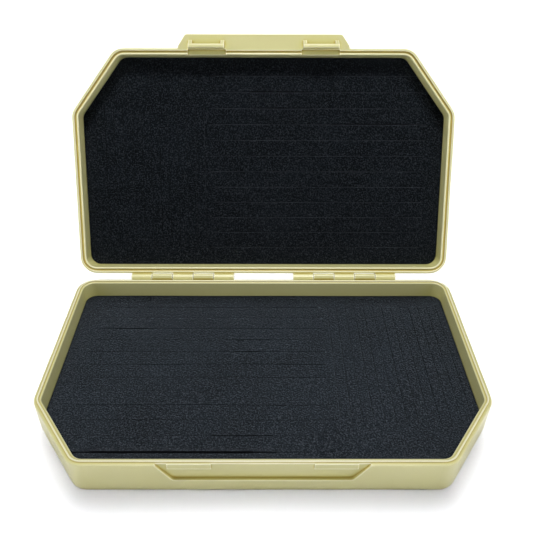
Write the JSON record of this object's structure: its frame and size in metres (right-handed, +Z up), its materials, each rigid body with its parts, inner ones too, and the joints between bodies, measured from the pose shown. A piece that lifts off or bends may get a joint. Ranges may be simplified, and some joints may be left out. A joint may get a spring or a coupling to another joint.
{
  "type": "miniature carry case",
  "caption": "Hinged six-sided hard case with slit foam in base and lid, shown open; the lid swings on two pinned hinges and shuts with a hooked front tab.",
  "frame": {"origin": "centre of the base's flat underside, where the case stands", "axes": "+Z up from the underside to the rim, +X to the right along the hinge axis and the case's width, -Y towards the latch edge, +Y towards the hinges"},
  "size_m": [0.24, 0.2238, 0.1577],
  "materials": {
    "shell_plastic": "satin moulded, pale khaki yellow",
    "pin_steel": "drawn bright wire",
    "slit_foam": "black closed-cell foam, fine grained, die-cut slits",
    "backing_foam": "dark closed-cell foam, uncut",
    "adhesive_film": "thin double-sided film"
  },
  "bodies": {
    "base": {"base_shell": "shell_plastic", "hinge_pin_left": "pin_steel", "hinge_pin_right": "pin_steel", "base_slit_foam": "slit_foam", "base_backing_foam": "backing_foam", "base_adhesive_film": "adhesive_film"},
    "lid": {"lid_shell": "shell_plastic", "lid_slit_foam": "slit_foam", "lid_backing_foam": "backing_foam", "lid_adhesive_film": "adhesive_film"}
  },
  "joints": [
    {"name": "lid_hinge", "type": "hinge", "parent": "base", "child": "lid", "pos_m": [0, 0.073, 0.021], "axis": [1, 0, 0], "range_deg": [0, 115.7]}
  ]
}
